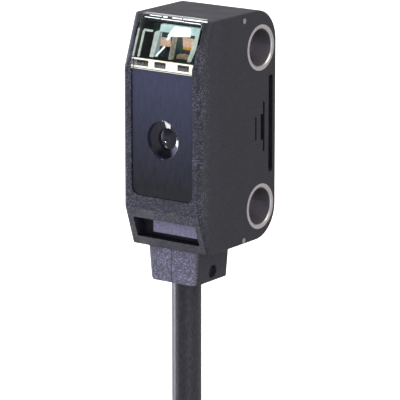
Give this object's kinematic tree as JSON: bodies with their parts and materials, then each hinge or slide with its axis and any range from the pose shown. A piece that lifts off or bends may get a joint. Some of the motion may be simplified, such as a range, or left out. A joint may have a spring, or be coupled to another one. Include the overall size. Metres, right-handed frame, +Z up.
{
  "type": "photoelectric sensor",
  "caption": "Slim block photoelectric sensor with a round lens in a smoked front panel, a clear lamp window on the slanted top edge, metal side bores and a thin cable.",
  "frame": {"origin": "middle of the two mounting holes, at half the case's width", "axes": "+Z up along the case, away from the cable; the sensing face looks along -Y; +X along the mounting holes' axes"},
  "size_m": [0.0152, 0.0433, 0.1208],
  "materials": {
    "case_plastic": "fine moulded texture, glass-filled PBT",
    "pin_steel": "plain, round heads",
    "sleeve_steel": "turned, cold-rolled steel with nickel plating",
    "smoke_plastic": "polished, infrared-passing smoke",
    "lens_plastic": "polished acrylic",
    "seal_rubber": "matt",
    "holder_plastic": "matt black",
    "clear_plastic": "polished clear polycarbonate",
    "grey_plastic": "satin light grey",
    "board_laminate": "green solder mask on epoxy glass",
    "chip_epoxy": "moulded epoxy",
    "can_tinplate": "tinplate",
    "lamp_package": "clear epoxy over gilded pads",
    "capacitor_ceramic": "fired",
    "resistor_ceramic": "fired, glazed",
    "boot_plastic": "spark-eroded texture",
    "crimp_brass": "plain",
    "jacket_pvc": "extruded PVC, satin",
    "core_brown_pvc": "extruded PVC",
    "core_black_pvc": "extruded PVC",
    "core_blue_pvc": "extruded PVC",
    "tinned_copper": "tinned strands",
    "tie_plastic": "ribbon tie"
  },
  "bodies": {
    "root": {"case": "case_plastic", "case_pins": "pin_steel", "upper_sleeve": "sleeve_steel", "lower_sleeve": "sleeve_steel", "front_panel": "smoke_plastic", "objective_lens": "lens_plastic", "lens_gasket": "seal_rubber", "optic_holder": "holder_plastic", "indicator_window": "clear_plastic", "light_guide": "clear_plastic", "mask_catch": "grey_plastic", "main_board": "board_laminate", "receiver_chip": "chip_epoxy", "shield_can": "can_tinplate", "output_lamp": "lamp_package", "stability_lamp": "lamp_package", "signal_chip": "chip_epoxy", "output_transistor": "chip_epoxy", "surge_diode": "chip_epoxy", "capacitors": "capacitor_ceramic", "resistors": "resistor_ceramic", "inner_lead_brown": "core_brown_pvc", "inner_lead_black": "core_black_pvc", "inner_lead_blue": "core_blue_pvc", "cable_boot": "boot_plastic", "boot_seal": "seal_rubber", "crimp_ring": "crimp_brass", "cable": "jacket_pvc", "cable_coil": "jacket_pvc", "cable_tail": "jacket_pvc", "core_brown": "core_brown_pvc", "core_black": "core_black_pvc", "core_blue": "core_blue_pvc", "core_tips": "tinned_copper", "coil_ties": "tie_plastic"}
  },
  "joints": []
}
